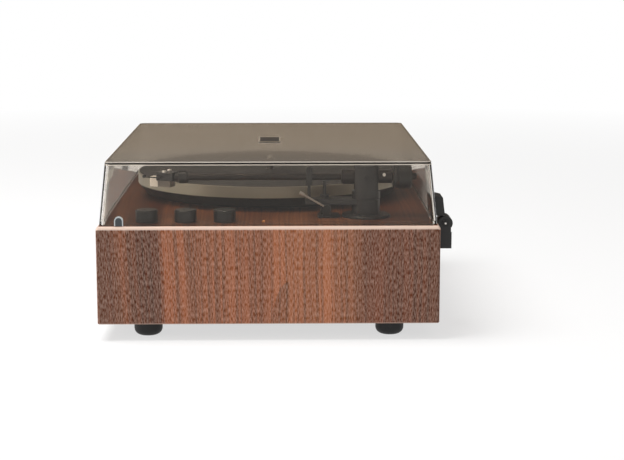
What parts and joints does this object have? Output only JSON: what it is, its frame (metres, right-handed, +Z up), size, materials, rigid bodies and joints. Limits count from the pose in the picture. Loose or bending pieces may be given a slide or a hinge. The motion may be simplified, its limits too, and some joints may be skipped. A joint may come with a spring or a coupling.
{
  "type": "record player",
  "caption": "Belt-drive record player: walnut-wrapped plinth on rubber feet, hinged smoked dust cover, platter, tonearm with cueing lift, deck knobs, front speaker grille.",
  "frame": {"origin": "centre of the footprint, on the surface the feet stand on; the footprint includes the hinges behind the plinth", "axes": "+X to the right as seen from the front, +Y to the back where the hinges are, +Z up"},
  "size_m": [0.42, 0.3624, 0.1813],
  "materials": {
    "walnut_wrap": "satin",
    "board_brown": "matte",
    "cover_acrylic": "clear smoked",
    "black_plastic": "matte",
    "knob_black": "satin",
    "foot_rubber": "matte",
    "mat_rubber": "matte",
    "platter_metal": "satin",
    "badge_metal": "satin",
    "arm_metal": "satin",
    "arm_paint": "satin",
    "bright_steel": "polished",
    "dark_steel": "satin",
    "bearing_brass": "satin",
    "weight_black": "satin",
    "drive_plastic": "matte",
    "cartridge_grey": "satin",
    "stylus_white": "satin",
    "grille_fabric": "woven",
    "cone_paper": "matte",
    "circuit_green": "satin",
    "component_black": "satin",
    "socket_red": "satin",
    "lamp_red": "gloss"
  },
  "bodies": {
    "plinth": {"plinth_cabinet": "walnut_wrap", "bottom_panel": "board_brown", "bottom_screws": "dark_steel", "feet": "foot_rubber", "foot_flanges": "bright_steel", "grille_frame": "black_plastic", "grille_cloth": "grille_fabric", "speaker_baffle": "board_brown", "speaker_baskets": "black_plastic", "speaker_cones": "cone_paper", "connector_plate": "black_plastic", "socket_rings": "socket_red", "socket_sleeves": "bright_steel", "power_inlet": "black_plastic", "rear_screws": "dark_steel", "circuit_board": "circuit_green", "board_parts": "component_black", "hinge_brackets": "black_plastic", "hinge_pins": "bright_steel", "bearing_housing": "bearing_brass", "deck_nuts": "dark_steel", "motor": "dark_steel", "motor_plate": "dark_steel", "motor_screws": "dark_steel", "drive_belt": "mat_rubber", "arm_base": "arm_paint", "arm_column": "arm_paint", "arm_bracket": "arm_paint", "arm_rest": "arm_paint", "cue_base": "arm_paint", "control_bodies": "component_black", "lamp": "lamp_red"},
    "cover": {"dust_cover": "cover_acrylic", "bumpers": "foot_rubber", "cover_badge": "badge_metal", "hinge_sockets": "black_plastic"},
    "platter": {"platter": "platter_metal", "platter_mat": "mat_rubber", "sub_platter": "drive_plastic", "spindle": "bright_steel"},
    "pulley": {"motor_pulley": "bearing_brass"},
    "yoke": {"arm_yoke": "arm_paint", "pivot_screws": "bright_steel"},
    "arm": {"arm_block": "arm_metal", "arm_tube": "arm_metal", "arm_tail": "arm_metal", "arm_collar": "arm_paint", "headshell": "arm_paint", "arm_screws": "bright_steel", "finger_lift": "bright_steel", "cartridge": "cartridge_grey", "stylus": "stylus_white"},
    "sleeve": {"weight_sleeve": "bearing_brass"},
    "counterweight": {"counterweight": "weight_black"},
    "cue_lever": {"cue_lever": "bright_steel"},
    "lift": {"lift_bar": "arm_paint"},
    "knob_1": {"knob_1": "knob_black"},
    "knob_2": {"knob_2": "knob_black"},
    "knob_3": {"knob_3": "knob_black"}
  },
  "joints": [
    {"name": "cover_hinge", "type": "hinge", "parent": "plinth", "child": "cover", "pos_m": [0, 0.1737, 0.1113], "axis": [-1, 0, 0], "range_deg": [0, 65]},
    {"name": "platter_spin", "type": "hinge", "parent": "plinth", "child": "platter", "pos_m": [-0.0265, -0.0087, 0.1444], "axis": [0, 0, -1], "continuous": true},
    {"name": "pulley_spin", "type": "hinge", "parent": "plinth", "child": "pulley", "pos_m": [-0.0865, 0.0713, 0.1275], "axis": [0, 0, -1], "continuous": true},
    {"name": "arm_swing", "type": "hinge", "parent": "plinth", "child": "yoke", "pos_m": [0.148, 0.092, 0.1585], "axis": [0, 0, -1], "range_deg": [0, 44]},
    {"name": "arm_tilt", "type": "hinge", "parent": "yoke", "child": "arm", "pos_m": [0.148, 0.092, 0.1585], "axis": [-1, 0, 0], "range_deg": [0, 2.2]},
    {"name": "weight_slide", "type": "slide", "parent": "arm", "child": "sleeve", "axis": [0, 1, 0], "range_m": [0, 0.0045]},
    {"name": "weight_turn", "type": "hinge", "parent": "sleeve", "child": "counterweight", "pos_m": [0.148, 0.1292, 0.1585], "axis": [0, 1, 0], "range_deg": [0, 1081]},
    {"name": "cue_lever_turn", "type": "hinge", "parent": "plinth", "child": "cue_lever", "pos_m": [0.1603, 0.0513, 0.1277], "axis": [1, 0, 0], "range_deg": [0, 28.1]},
    {"name": "lift_slide", "type": "slide", "parent": "plinth", "child": "lift", "axis": [0, 0, 1], "range_m": [-0.005, 0]},
    {"name": "knob_1_turn", "type": "hinge", "parent": "plinth", "child": "knob_1", "pos_m": [0.182, -0.1322, 0.123], "axis": [0, 0, -1], "range_deg": [-45, 45]},
    {"name": "knob_2_turn", "type": "hinge", "parent": "plinth", "child": "knob_2", "pos_m": [0.182, -0.0927, 0.123], "axis": [0, 0, -1], "range_deg": [-140, 140]},
    {"name": "knob_3_turn", "type": "hinge", "parent": "plinth", "child": "knob_3", "pos_m": [0.182, -0.0532, 0.123], "axis": [0, 0, -1], "range_deg": [-140, 140]}
  ],
  "couplings": [
    {"joint": "pulley_spin", "follows": "platter_spin", "ratio": 10},
    {"joint": "weight_turn", "follows": "weight_slide", "rad_per_m": 4188.8},
    {"joint": "cue_lever_turn", "follows": "lift_slide", "rad_per_m": -97.74}
  ]
}
